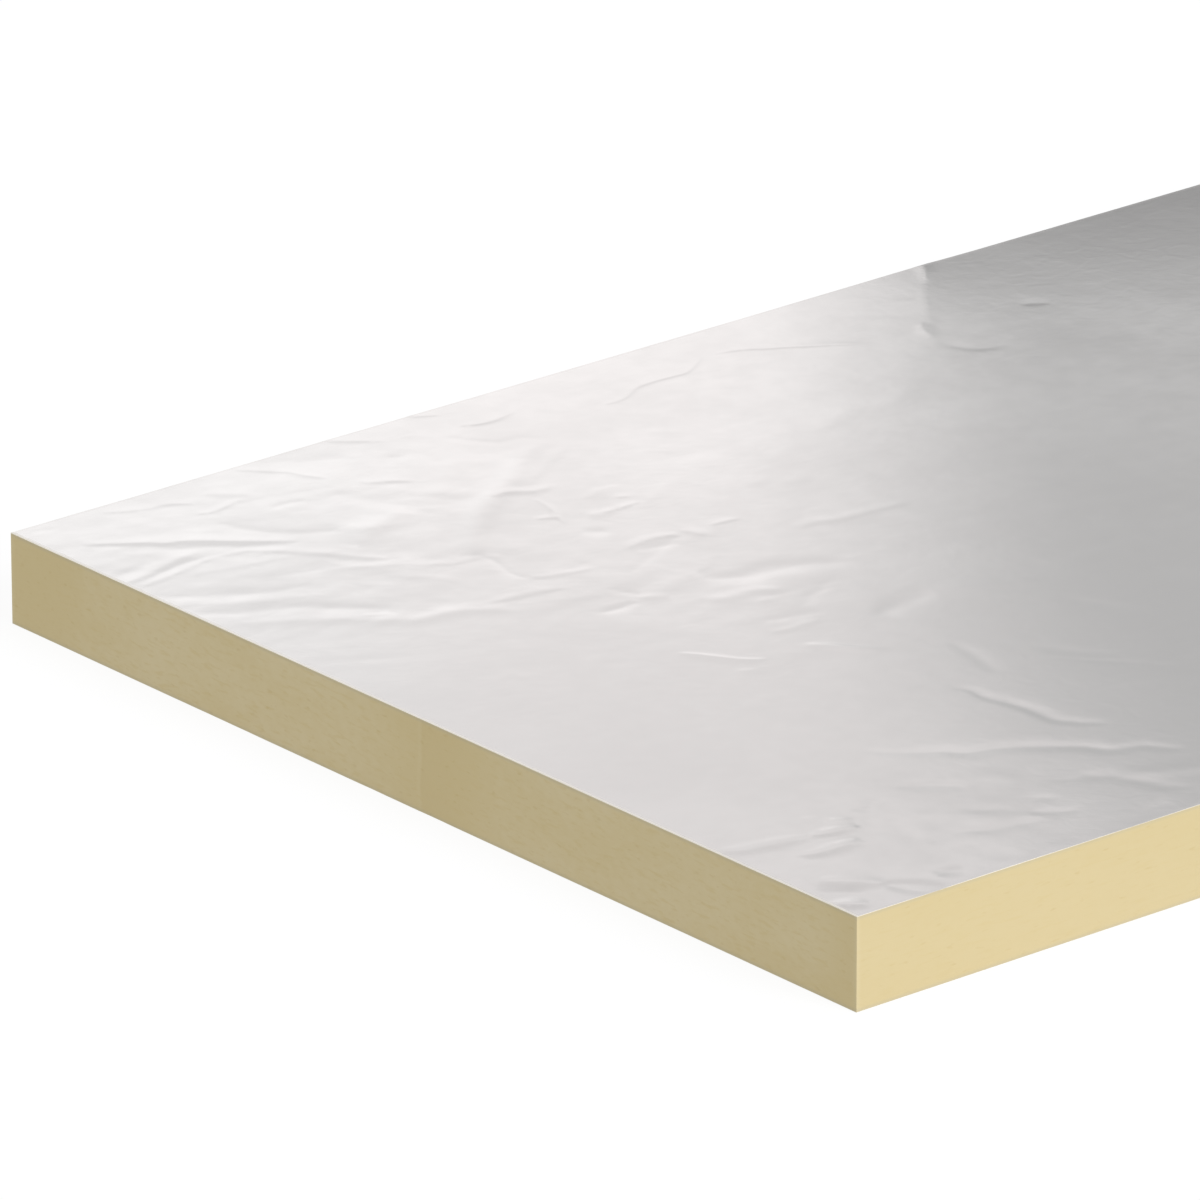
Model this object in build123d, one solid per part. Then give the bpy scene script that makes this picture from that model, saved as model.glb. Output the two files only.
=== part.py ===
"""Foil-faced rigid foam insulation board, lying flat.

The board is a slab of closed-cell foam with a thin foil facing bonded over each broad face.
The foam rises between the two facings as the board is made, and a saw then cuts the long
sides and the ends square through all three layers, so the layers share one plan outline
and their edges are flush.

Frame: the origin is the middle of the underside. X runs along the board's length, Y across
its width, and Z up through its thickness. Units are millimetres.
"""

from build123d import *
import os

# Driving sizes of the finished board
BOARD_LENGTH = 2400.0
BOARD_WIDTH = 1200.0
BOARD_THICKNESS = 90.0

# Each facing is a laminate of foil and paper, and has one gauge on both sides
FACING_THICKNESS = 0.3

# The foam fills what the two facings leave
CORE_THICKNESS = BOARD_THICKNESS - 2 * FACING_THICKNESS

# Heights at which the layers meet
UNDERSIDE = 0.0
CORE_BOTTOM = UNDERSIDE + FACING_THICKNESS
CORE_TOP = CORE_BOTTOM + CORE_THICKNESS


def sawn_outline(height):
    """The plan outline that the saws leave, drawn at one height."""
    return Plane.XY.offset(height) * Rectangle(BOARD_LENGTH, BOARD_WIDTH)


def layer(height, thickness):
    """One layer of the board, from a height up through its own thickness."""
    return extrude(sawn_outline(height), amount=thickness, dir=(0, 0, 1))


def bottom_facing():
    """The foil facing that the board lies on."""
    return layer(UNDERSIDE, FACING_THICKNESS)


def foam_core():
    """The foam slab, whose sawn sides and ends stay bare."""
    return layer(CORE_BOTTOM, CORE_THICKNESS)


def top_facing():
    """The foil facing on the upper face."""
    return layer(CORE_TOP, FACING_THICKNESS)


os.makedirs("parts", exist_ok=True)
for make_part in (bottom_facing, foam_core, top_facing):
    name = make_part.__name__
    part = make_part()
    part.label = name
    export_step(part, f"parts/{name}.step")
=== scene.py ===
"""Looks of a foil-faced foam board: creased foil facings, cut foam and a plain studio.

The board lies flat on the floor. X runs along its length, Y across its width and Z up
through its thickness. The low-x end and the low-y edge meet at the corner nearest the camera.
"""

import math
from typing import NamedTuple

import bpy
import numpy as np
from bpy.props import FloatProperty, FloatVectorProperty, IntProperty, PointerProperty
from mathutils import Matrix, Vector
from mathutils.geometry import delaunay_2d_cdt


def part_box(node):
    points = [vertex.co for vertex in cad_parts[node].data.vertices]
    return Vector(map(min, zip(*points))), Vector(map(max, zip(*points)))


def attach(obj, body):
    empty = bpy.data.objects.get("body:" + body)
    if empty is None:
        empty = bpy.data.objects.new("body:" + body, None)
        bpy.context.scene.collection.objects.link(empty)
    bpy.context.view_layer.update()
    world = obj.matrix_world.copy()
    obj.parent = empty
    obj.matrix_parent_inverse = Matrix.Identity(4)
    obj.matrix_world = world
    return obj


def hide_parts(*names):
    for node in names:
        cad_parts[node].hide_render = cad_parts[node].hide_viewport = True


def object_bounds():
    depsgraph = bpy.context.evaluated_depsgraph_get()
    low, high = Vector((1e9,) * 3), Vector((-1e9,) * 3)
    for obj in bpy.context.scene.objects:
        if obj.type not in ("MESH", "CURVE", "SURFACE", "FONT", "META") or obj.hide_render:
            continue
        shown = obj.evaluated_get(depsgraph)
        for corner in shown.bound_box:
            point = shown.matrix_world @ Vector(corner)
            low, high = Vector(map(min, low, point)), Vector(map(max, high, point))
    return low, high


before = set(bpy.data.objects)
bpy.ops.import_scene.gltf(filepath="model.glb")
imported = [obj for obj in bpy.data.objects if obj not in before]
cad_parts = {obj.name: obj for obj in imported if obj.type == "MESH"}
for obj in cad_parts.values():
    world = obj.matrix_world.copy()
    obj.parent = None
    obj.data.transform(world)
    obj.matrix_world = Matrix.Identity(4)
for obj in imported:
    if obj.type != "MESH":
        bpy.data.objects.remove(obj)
cad_low, cad_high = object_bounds()

bl_info = {
    "name": "Foil-faced foam board",
    "version": (1, 0, 0),
    "blender": (4, 5, 0),
    "location": "View3D > Sidebar > Foam board",
    "description": "Dresses a foil-faced foam board with creased foil, cut foam and a studio",
    "category": "Object",
}

MM = 0.001
BOARD_LENGTH = cad_high.x - cad_low.x
BOARD_WIDTH = cad_high.y - cad_low.y
BOARD_THICKNESS = cad_high.z - cad_low.z


def linear(*shades):
    """Scene colour of a screen colour given as shades from 0 to 255."""
    shares = (shade / 255.0 for shade in shades)
    return tuple(s / 12.92 if s <= 0.04045 else ((s + 0.055) / 1.055) ** 2.4 for s in shares)


class FacingSizes(bpy.types.PropertyGroup):
    """Relief of the two foil facings."""

    near_cell: FloatProperty(
        name="Near cell", description="Mesh spacing at the low-x end",
        default=7.0 * MM, min=2.0 * MM, unit="LENGTH")
    far_cell: FloatProperty(
        name="Far cell", description="Mesh spacing at the high-x end",
        default=14.0 * MM, min=2.0 * MM, unit="LENGTH")
    crease_cell: FloatProperty(
        name="Crease cell", description="Mesh spacing along a crease",
        default=7.0 * MM, min=2.0 * MM, unit="LENGTH")
    lift: FloatProperty(
        name="Lift", description="How far the loose foil stands off the flat on average",
        default=0.20 * MM, unit="LENGTH")
    wave_height: FloatProperty(
        name="Wave height", description="Height of the long soft waves",
        default=0.4 * MM, unit="LENGTH")
    wave_size: FloatProperty(
        name="Wave size", description="Distance between the long soft waves",
        default=130 * MM, unit="LENGTH")
    fold_height: FloatProperty(
        name="Fold height", description="Height of the soft short folds",
        default=0.5 * MM, unit="LENGTH")
    fold_size: FloatProperty(
        name="Fold size", description="Distance between the soft short folds",
        default=60 * MM, unit="LENGTH")
    crumple_height: FloatProperty(
        name="Crumple height", description="Height of the small crumples",
        default=0.18 * MM, unit="LENGTH")
    crumple_size: FloatProperty(
        name="Crumple size", description="Distance between the small crumples",
        default=42 * MM, unit="LENGTH")
    deepest: FloatProperty(
        name="Deepest dent", description="How far a dent may sink into the facing's gauge",
        default=0.24 * MM, unit="LENGTH")
    highest: FloatProperty(
        name="Highest ridge", description="How far a crease may stand proud",
        default=1.4 * MM, unit="LENGTH")
    seed: IntProperty(
        name="Seed", description="Picks another set of small creases", default=41, min=0)


class FoilFinish(bpy.types.PropertyGroup):
    """Finish of the foil."""

    colour: FloatVectorProperty(
        name="Foil", description="Colour of the clean foil",
        default=linear(248, 247, 247), subtype="COLOR", min=0.0, max=1.0)
    worn_colour: FloatVectorProperty(
        name="Handled foil", description="Colour of the foil where it was handled",
        default=linear(243, 242, 242), subtype="COLOR", min=0.0, max=1.0)
    # Along the board's ends this paper colour also serves as a painted highlight on the rounded top
    # edge
    paper_colour: FloatVectorProperty(
        name="Paper", description="Colour of the paper behind the foil, which shows at the cut edge",
        default=linear(252, 244, 226), subtype="COLOR", min=0.0, max=1.0)
    roughness: FloatProperty(
        name="Roughness", description="Roughness of the foil",
        default=0.12, min=0.0, max=1.0, subtype="FACTOR")


class FoamFinish(bpy.types.PropertyGroup):
    """Finish of the cut foam."""

    colour: FloatVectorProperty(
        name="Foam", description="Colour of the cut foam",
        default=linear(229, 213, 171), subtype="COLOR", min=0.0, max=1.0)
    dense_colour: FloatVectorProperty(
        name="Dense foam", description="Colour of the denser streaks in the foam",
        default=linear(223, 204, 154), subtype="COLOR", min=0.0, max=1.0)
    # Also used to make the foam paler toward the board's upright corners
    pale_colour: FloatVectorProperty(
        name="Pale foam", description="Colour of crushed cells along a cut edge",
        default=linear(238, 226, 190), subtype="COLOR", min=0.0, max=1.0)
    fleck_colour: FloatVectorProperty(
        name="Flecks", description="Colour of the small voids that the saw opens",
        default=linear(205, 180, 120), subtype="COLOR", min=0.0, max=1.0)
    # Darker and greyer: the foam's dense skin, and also a painted shade line just under each facing
    skin_and_shade_colour: FloatVectorProperty(
        name="Foam skin", description="Colour of the dense foam right beside the facings",
        default=linear(207, 196, 164), subtype="COLOR", min=0.0, max=1.0)


class StudioSettings(bpy.types.PropertyGroup):
    """Floor, lights and the tent that the foil mirrors."""

    ambient: FloatProperty(
        name="Ambient", description="Strength of the even light from all round",
        default=0.58, min=0.0)
    key: FloatProperty(
        name="Key", description="Strength of the soft lamp at the low-y side",
        default=1.575, min=0.0)
    tent_radius: FloatProperty(
        name="Tent radius", description="Radius of the tent that the foil mirrors",
        default=3.0, unit="LENGTH")
    tent_height: FloatProperty(
        name="Tent height", description="Height of the tent's upright wall",
        default=3.0, unit="LENGTH")


def add_node(tree, kind, inputs=None, **settings):
    """A node with its settings made and its inputs set or linked."""
    node = tree.nodes.new(kind)
    for name, value in settings.items():
        setattr(node, name, value)
    for name, value in (inputs or {}).items():
        if isinstance(value, bpy.types.NodeSocket):
            tree.links.new(value, node.inputs[name])
        else:
            node.inputs[name].default_value = value
    return node


def maths(tree, operation, first, second=0.0, third=0.0, clamp=False):
    """The result of a Math node."""
    inputs = {0: first, 1: second, 2: third}
    return add_node(tree, "ShaderNodeMath", inputs, operation=operation, use_clamp=clamp).outputs[0]


def plus(tree, first, second):
    """The sum of two values."""
    return maths(tree, "ADD", first, second)


def minus(tree, first, second):
    """The first value less the second."""
    return maths(tree, "SUBTRACT", first, second)


def times(tree, first, second):
    """The product of two values."""
    return maths(tree, "MULTIPLY", first, second)


def noise(tree, place, scale, detail, **inputs):
    """Smooth noise over the place, which also changes with a fourth input where W is given."""
    inputs = {"Vector": place, "Scale": scale, "Detail": detail} | inputs
    dimensions = "4D" if "W" in inputs else "3D"
    return add_node(tree, "ShaderNodeTexNoise", inputs, noise_dimensions=dimensions).outputs[0]


def bump(tree, height, depth, strength=1.0, **inputs):
    """A normal that stands for a fine relief of that depth."""
    inputs = {"Height": height, "Distance": depth, "Strength": strength} | inputs
    return add_node(tree, "ShaderNodeBump", inputs).outputs[0]


def grey(shade):
    """A colour without a tint."""
    return (shade, shade, shade, 1.0)


def scale_for(tree, size):
    """The scale that gives a pattern that size."""
    return maths(tree, "DIVIDE", 1.0, size)


def spread(tree, value, from_low, from_high, to_low=0.0, to_high=1.0):
    """A value moved smoothly from one range to another."""
    inputs = {"Value": value, "From Min": from_low, "From Max": from_high,
              "To Min": to_low, "To Max": to_high}
    node = add_node(tree, "ShaderNodeMapRange", inputs, interpolation_type="SMOOTHSTEP")
    return node.outputs["Result"]


def blend_colours(tree, share, first, second):
    """Two colours mixed by a share."""
    node = add_node(tree, "ShaderNodeMix", data_type="RGBA")
    for socket, value in ((node.inputs[0], share), (node.inputs[6], first), (node.inputs[7], second)):
        if isinstance(value, bpy.types.NodeSocket):
            tree.links.new(value, socket)
        elif socket == node.inputs[0]:
            socket.default_value = value
        else:
            socket.default_value = (*value, 1.0)
    return node.outputs[2]


def new_tree(name, kind, inputs, outputs):
    """A node group with its sockets, and its input and output nodes.

    An input is given as the number that it starts from, or else as its kind of socket.
    """
    tree = bpy.data.node_groups.new(name, kind)
    for label, value in inputs.items():
        number = isinstance(value, float)
        socket_type = "NodeSocketFloat" if number else value
        socket = tree.interface.new_socket(label, in_out="INPUT", socket_type=socket_type)
        if number:
            socket.default_value = value
    for label, socket_type in outputs.items():
        tree.interface.new_socket(label, in_out="OUTPUT", socket_type=socket_type)
    return tree, tree.nodes.new("NodeGroupInput"), tree.nodes.new("NodeGroupOutput")


# Steepness past which a crease gets a fine mesh
BOLD_SLOPE = 0.016


class Crease(NamedTuple):
    """One crease in a facing, in millimetres.

    The path is measured from the low-x end and the low-y edge. A crease with a rise below
    nought is a dent. Lean is how much steeper the crease is on the right of its path than on
    the left. A sharp crease has a crest like a knife's and the rest are rounded.
    """

    path: tuple
    half_width: float
    rise: float
    lean: float = 0.0
    sharp: bool = False

    @property
    def bold(self):
        """Whether it is steep enough to need a fine mesh."""
        return abs(self.rise) > BOLD_SLOPE * self.half_width


# Creases that show on the upper facing, read off and listed from the low-x end onwards
UPPER_CREASES = (
    # Fan of creases by the high-y corner
    Crease(((30, 1134), (53, 1119), (76, 1103), (93, 1087), (110, 1079), (149, 1046),
            (192, 1012)), 9, 0.48, 0.3),
    Crease(((73, 1082), (94, 1066), (122, 1050), (147, 1029), (178, 1006)), 8, -0.18),
    Crease(((2, 1029), (36, 1037), (68, 1046), (105, 1051)), 8, 0.32, 0.2),
    Crease(((27, 1025), (55, 1031), (81, 1035), (105, 1035)), 5, -0.18),
    Crease(((8, 1014), (39, 1018), (73, 1025), (106, 1031)), 6, 0.21, 0.2),
    Crease(((100, 1032), (120, 1029), (145, 1024)), 5, 0.08),
    Crease(((-4, 989), (35, 962), (73, 936), (109, 923), (138, 915)), 10, -0.21),
    Crease(((-5, 963), (30, 940), (60, 920), (97, 907), (133, 886)), 9, 0.13),
    Crease(((2, 934), (37, 905), (63, 894), (88, 882), (118, 853), (153, 824)), 11, -0.30),
    Crease(((15, 885), (68, 856), (110, 822), (145, 793), (175, 786), (196, 781), (216, 764),
            (239, 738)), 12, 0.29),
    Crease(((118, 830), (129, 822), (143, 816)), 5, 0.15, -0.3),
    Crease(((93, 1189), (116, 1176), (138, 1168), (159, 1164), (177, 1148)), 6, 0.18, 0.2),
    Crease(((160, 1129), (176, 1122), (198, 1127), (218, 1131)), 5, 0.18, 0.2),
    Crease(((198, 1168), (217, 1148), (235, 1137)), 9, 0.21),
    Crease(((258, 1196), (280, 1174), (296, 1157), (302, 1138), (313, 1122)), 6, 0.18, 0.2),
    Crease(((160, 1102), (168, 1078), (179, 1054), (204, 1027), (235, 1009)), 9, -0.21),
    Crease(((12, 1190), (27, 1184), (44, 1180)), 6, -0.10),
    Crease(((135, 1026), (155, 1010), (174, 990), (192, 968), (209, 944), (227, 923)), 8, 0.23, 0.1),
    Crease(((368, 1203), (390, 1185), (416, 1163)), 7, 0.24, 0.2),
    Crease(((468, 1203), (482, 1194), (500, 1183)), 5, 0.18, 0.2),
    Crease(((327, 1097), (338, 1087), (356, 1076), (371, 1063)), 7, 0.24, 0.2),
    Crease(((222, 1094), (246, 1094), (262, 1087)), 6, -0.18),
    Crease(((386, 1129), (404, 1115)), 7, -0.16),
    Crease(((228, 968), (258, 993), (286, 1002), (314, 1013)), 19, 0.58),
    Crease(((197, 895), (214, 877), (228, 859), (242, 837)), 8, 0.12),
    Crease(((163, 887), (176, 880), (187, 877)), 7, 0.09),
    Crease(((247, 889), (260, 878), (276, 875), (293, 873)), 7, 0.12, 0.2),
    Crease(((188, 824), (191, 805), (206, 802)), 9, -0.10),
    Crease(((119, 637), (150, 605)), 7, 0.06),
    # Arc of creases at the middle of the far half
    Crease(((492, 1151), (511, 1142), (530, 1140), (559, 1147)), 6, 0.23, 0.3),
    Crease(((460, 1136), (480, 1109), (495, 1090), (512, 1089), (529, 1078)), 7, -0.12),
    Crease(((294, 879), (335, 928), (379, 968), (413, 994), (446, 1011), (487, 1045),
            (529, 1071)), 15, 0.79),
    Crease(((398, 983), (416, 985), (428, 979), (439, 972), (461, 971)), 8, 0.34, 0.1),
    Crease(((408, 893), (422, 928), (427, 955)), 4, 0.18),
    Crease(((391, 915), (405, 910), (415, 901)), 5, 0.17, 0.2),
    Crease(((433, 893), (448, 887), (465, 886)), 10, 0.23),
    Crease(((406, 865), (416, 853), (430, 848)), 9, -0.18),
    Crease(((451, 887), (472, 887), (499, 887)), 5, 0.18, 0.2),
    Crease(((486, 912), (501, 903)), 5, 0.10, 0.2),
    Crease(((289, 804), (289, 824), (296, 851), (298, 873)), 5, -0.16),
    Crease(((295, 806), (308, 797), (322, 793), (336, 788), (355, 785)), 7, 0.23),
    Crease(((346, 802), (363, 795)), 5, -0.06),
    Crease(((297, 870), (315, 862)), 6, 0.08, -0.2),
    Crease(((408, 803), (436, 807), (456, 806), (472, 796)), 7, 0.24, 0.2),
    Crease(((416, 790), (438, 788), (459, 781)), 8, -0.16),
    Crease(((482, 808), (487, 789), (494, 777)), 8, 0.24, 0.1),
    Crease(((286, 692), (310, 692), (332, 693)), 7, -0.27),
    Crease(((329, 741), (339, 719), (346, 701)), 5, -0.08),
    Crease(((340, 702), (352, 692), (366, 687)), 9, 0.21),
    Crease(((505, 799), (521, 798), (541, 795)), 5, 0.14, 0.2),
    Crease(((633, 1106), (658, 1106), (687, 1120), (713, 1123), (734, 1123), (754, 1124),
            (789, 1144)), 5, 0.26, 0.2),
    Crease(((618, 1024), (628, 1015), (646, 1001)), 7, 0.10, 0.2),
    # Long soft dents at mid width
    Crease(((601, 863), (621, 849)), 9, 0.13),
    Crease(((631, 844), (653, 829)), 8, 0.12),
    Crease(((564, 739), (587, 743), (606, 735), (631, 733), (658, 730), (687, 726)), 9, 0.23, 0.1),
    Crease(((414, 702), (444, 681), (465, 679), (483, 677), (506, 668), (532, 656),
            (550, 647)), 14, -0.43),
    Crease(((379, 656), (399, 649), (421, 647), (440, 641), (456, 627)), 11, 0.29),
    Crease(((387, 585), (404, 577), (424, 573), (446, 567)), 8, -0.16),
    Crease(((373, 558), (395, 552), (413, 553), (433, 552)), 7, 0.18),
    Crease(((474, 524), (505, 534), (528, 537), (554, 539)), 13, -0.42),
    Crease(((278, 574), (291, 556), (302, 538), (315, 521), (332, 508)), 6, 0.24, -0.3),
    Crease(((288, 504), (311, 494)), 6, 0.10, -0.3),
    Crease(((379, 516), (396, 498), (408, 481), (429, 459)), 8, 0.39, -0.4),
    Crease(((254, 357), (270, 340), (288, 322)), 7, -0.10),
    Crease(((738, 919), (773, 935), (806, 939), (834, 933), (864, 943), (909, 972)), 17, 0.22),
    # Creases by the nearest corner
    Crease(((-1, 192), (25, 179), (45, 175), (69, 170), (91, 163)), 12, 0.55),
    Crease(((87, 164), (108, 161), (135, 156)), 10, 0.58),
    Crease(((120, 184), (130, 177), (141, 171)), 8, 0.33, -0.2),
    Crease(((105, 203), (120, 187)), 8, 0.23, -0.2),
    Crease(((49, 136), (71, 132), (93, 131), (116, 130)), 11, 0.69),
    Crease(((155, 184), (175, 180)), 6, -0.20),
    Crease(((171, 192), (191, 187)), 6, -0.20),
    Crease(((146, 90), (161, 125), (173, 157)), 11, -0.17),
    Crease(((24, 87), (38, 73), (53, 58), (68, 40)), 13, 0.59),
    Crease(((66, 41), (77, 26), (88, 11), (100, -5)), 13, -0.69),
    Crease(((7, 64), (23, 49), (41, 33)), 11, -0.44),
    Crease(((-3, 39), (10, 28), (28, 15)), 9, 0.53),
    Crease(((117, 31), (132, 23), (144, 17)), 11, -0.40),
    Crease(((408, 349), (421, 334), (421, 313), (427, 293), (431, 270), (431, 250), (432, 230),
            (445, 212), (464, 195)), 9, -0.33, 0.3),
    Crease(((470, 348), (475, 375), (483, 410), (488, 435)), 9, -0.18),
    Crease(((531, 377), (546, 360), (561, 336), (585, 315)), 9, -0.13),
    Crease(((528, 347), (558, 312), (588, 278), (600, 261)), 5, -0.08),
    Crease(((254, 288), (268, 267), (285, 252), (307, 237), (321, 222), (349, 211), (376, 195),
            (410, 166), (424, 145), (451, 135), (460, 124), (474, 103)), 10, -0.36, 0.1),
    Crease(((218, 205), (241, 188), (258, 174), (267, 160)), 10, -0.36),
    Crease(((360, 122), (382, 101), (394, 75), (404, 52), (419, 33)), 11, -0.21),
    Crease(((291, 107), (313, 92)), 7, -0.12),
    Crease(((272, 83), (292, 66), (311, 60)), 8, -0.14),
    Crease(((231, 121), (245, 112), (264, 105)), 8, -0.21),
    Crease(((159, 85), (184, 88), (203, 84), (218, 74), (242, 69), (273, 64)), 10, -0.22),
    Crease(((174, 37), (187, 26), (205, 17)), 13, -0.17),
    # Creases toward the middle of the high-y edge
    Crease(((801, 1144), (830, 1136), (850, 1123), (871, 1111), (904, 1090),
            (932, 1070)), 6, 0.26, 0.3),
    Crease(((960, 1133), (976, 1116), (1002, 1098)), 7, 0.08),
    Crease(((1021, 1144), (1046, 1126)), 7, 0.08),
    # Pucker at the high-y edge
    Crease(((995, 1010), (991, 1031), (1000, 1056), (1019, 1083), (1047, 1114), (1075, 1145),
            (1127, 1205), (1177, 1263)), 70, 1.15, 0.4, True),
    Crease(((1086, 1158), (1113, 1194), (1142, 1229)), 7, 0.32, 0.0, True),
    Crease(((989, 1037), (998, 1062), (1012, 1082)), 7, 0.34, 0.0, True),
    Crease(((989, 1033), (994, 1012), (1004, 995), (1023, 986), (1050, 996)), 9, -0.18),
    Crease(((1114, 1058), (1131, 1051), (1143, 1041)), 7, -0.16),
)

# Where the rows of places along a crease lie, in shares of its half width
BOLD_ROWS = (0.0, 0.35, -0.35, 0.7, -0.7, 1.1, -1.1, 1.6, -1.6, 2.3, -2.3)
FAINT_ROWS = (0.0, 0.6, -0.6, 1.4, -1.4)
SHARP_ROWS = (0.0, 0.06, -0.06, 0.14, -0.14, 0.3, -0.3, 0.6, -0.6, 1.0, -1.0, 1.5, -1.5, 2.2, -2.2)

# How far places keep from the rim, from one another beside a crease, and from one another
# elsewhere, in millimetres. Nearer than the last value, two places would count as one.
RIM_MARGIN = 2.5
FINE_GAP = 1.3
COARSE_GAP = 3.6
SAME_PLACE = 1e-6

# About how far a crease sways to each side, as a share of its length
CREASE_SWAY = 0.005

# How far a crease's relief is worked out, and how far a sharp one reaches, in half widths
CREASE_REACH = 4.0
SHARP_REACH = 2.2

# Smoother stretches of the foil: middle and reach in millimetres, and the creasing left there
CALM_PLACES = (
    (60.0, 470.0, 330.0, 0.1),
    (650.0, 950.0, 320.0, 0.25),
    (560.0, 330.0, 330.0, 0.2),
    (950.0, 700.0, 320.0, 0.4),
    (1400.0, 1050.0, 340.0, 0.2),
    (860.0, 1120.0, 300.0, 0.2),
    (1260.0, 1090.0, 300.0, 0.2),
    (430.0, 110.0, 230.0, 0.3),
    (110.0, 300.0, 200.0, 0.0),
    (1150.0, 1170.0, 180.0, 0.0),
)

# The upper facing has scattered bold creases only beyond the stretch whose creases are listed. That
# stretch ends at this many millimetres along the low-y edge, and at this many more for each millimetre
# across the board.
HAND_MADE_LENGTH = 560.0
HAND_MADE_SLANT = 1.1

# Small creases on each facing, and clusters of bold ones on the upper and the lower facing
SMALL_CREASE_COUNT = 420
UPPER_CLUSTERS = 16
LOWER_CLUSTERS = 26


def run_through(points, steps=8):
    """A smooth line through the points, with as many places to each span as steps."""
    points = np.array(points, float)
    first = 2.0 * points[0] - points[1]
    last = 2.0 * points[-1] - points[-2]
    padded = np.vstack([first, points, last])
    places = []
    for before, start, end, after in zip(padded, padded[1:], padded[2:], padded[3:]):
        for t in np.linspace(0.0, 1.0, steps, endpoint=False):
            places.append(start + 0.5 * t * (
                end - before
                + t * (2.0 * before - 5.0 * start + 4.0 * end - after)
                + t * t * (3.0 * (start - end) + after - before)))
    places.append(points[-1])
    return np.array(places)


def wander(line, amount, rng):
    """The line with a small uneven sway, as a crease in foil has."""
    length = np.linalg.norm(line[-1] - line[0])
    share = np.linspace(0.0, 1.0, len(line))
    along = (line[-1] - line[0]) / length
    across = np.array([-along[1], along[0]])
    sway = np.zeros(len(line))
    for turns in (1.5, 3.5, 6.0):
        sway += rng.normal() / turns * np.sin(2.0 * math.pi * (turns * share + rng.random()))
    return line + np.outer(sway * amount * length, across)


def crease_relief(x, y, crease, line):
    """Height that one crease gives the places near it, which fades toward the crease's ends."""
    reach = CREASE_REACH * crease.half_width
    low = line.min(0) - reach
    high = line.max(0) + reach
    close = np.nonzero((x > low[0]) & (x < high[0]) & (y > low[1]) & (y < high[1]))[0]
    places = np.stack([x[close], y[close]], 1)
    spans = np.diff(line, axis=0)
    lengths = np.linalg.norm(spans, axis=1)
    starts = np.concatenate([[0.0], np.cumsum(lengths)])
    nearest = np.full(len(close), np.inf)
    offset = np.zeros(len(close))
    share = np.zeros(len(close))
    for start, span, length, begun in zip(line, spans, lengths, starts):
        away = places - start
        along = np.clip(away @ span / length ** 2, 0.0, 1.0)
        gap = away - np.outer(along, span)
        distance = np.hypot(gap[:, 0], gap[:, 1])
        closer = distance < nearest
        turn = span[0] * away[:, 1] - span[1] * away[:, 0]
        nearest[closer] = distance[closer]
        offset[closer] = (np.sign(turn) * distance)[closer]
        share[closer] = ((begun + along * length) / starts[-1])[closer]
    swell = np.sin(math.pi * np.clip(share, 0.0, 1.0))
    breadth = crease.half_width * (0.6 + 0.4 * swell)
    breadth = breadth * (1.0 + crease.lean * np.sign(offset))
    if crease.sharp:
        profile = np.clip(1.0 - np.abs(offset) / (SHARP_REACH * breadth), 0.0, 1.0) ** 2
    else:
        profile = np.exp(-((offset / breadth) ** 2))
    return close, crease.rise * swell ** (1.0 if crease.sharp else 0.5) * profile


def liveliness(x, y):
    """How creased the foil is at each place: one outside the calm stretches."""
    lively = np.ones_like(x)
    for middle_x, middle_y, reach, least in CALM_PLACES:
        share = np.clip(np.hypot(x - middle_x, y - middle_y) / reach, 0.0, 1.0)
        lively = lively * (least + (1.0 - least) * share ** 3)
    return lively


def rows_beside(crease, line, spacing, offsets):
    """Places in rows along a crease, close together across it and farther apart along it."""
    lengths = np.linalg.norm(np.diff(line, axis=0), axis=1)
    travelled = np.concatenate([[0.0], np.cumsum(lengths)])
    count = max(4, int(travelled[-1] / spacing) + 1)
    stops = np.linspace(0.0, travelled[-1], count)
    middle = np.stack([np.interp(stops, travelled, line[:, axis]) for axis in (0, 1)], 1)
    along = np.gradient(middle, axis=0)
    along /= np.linalg.norm(along, axis=1)[:, None]
    across = np.stack([-along[:, 1], along[:, 0]], 1)
    rows = []
    for offset in offsets:
        breadth = crease.half_width * (1.0 + crease.lean * np.sign(offset))
        rows.append(middle + offset * breadth * across)
    return np.concatenate(rows)


def thinned(places, gap, taken):
    """The places that keep a gap to those kept before them, which are held by cell in taken."""
    kept = []
    for x, y in places:
        column, row = int(x // gap), int(y // gap)
        close = (taken.get((column + i, row + j)) for i in (-1, 0, 1) for j in (-1, 0, 1))
        if all(c is None or (c[0] - x) ** 2 + (c[1] - y) ** 2 > gap * gap for c in close):
            taken[(column, row)] = (x, y)
            kept.append((x, y))
    return kept


class CreaseHabit(NamedTuple):
    """How the creases of a scattered cluster are drawn at random.

    Lengths are in millimetres and angles in radians. A crease's rise is multiplied by one of
    the signs.
    """

    headings: tuple
    fewest: int
    scatter: float
    turn: float
    runs: tuple
    bend: float
    rises: tuple
    signs: tuple
    half_widths: tuple
    lean: float


FAINT_HABIT = CreaseHabit(
    headings=(-0.8, 0.4), fewest=2, scatter=45.0, turn=0.35, runs=(35.0, 140.0), bend=3.0,
    rises=(0.04, 0.18), signs=(1.0, 1.0, -1.0), half_widths=(6.0, 15.0), lean=0.4)
BOLD_HABIT = CreaseHabit(
    headings=(-math.pi / 2, math.pi / 2), fewest=3, scatter=60.0, turn=0.3, runs=(70.0, 220.0),
    bend=9.0, rises=(0.15, 0.5), signs=(1.0, 1.0, 1.0, -0.5), half_widths=(6.0, 13.0), lean=0.5)
MOST_IN_CLUSTER = 6


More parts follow.
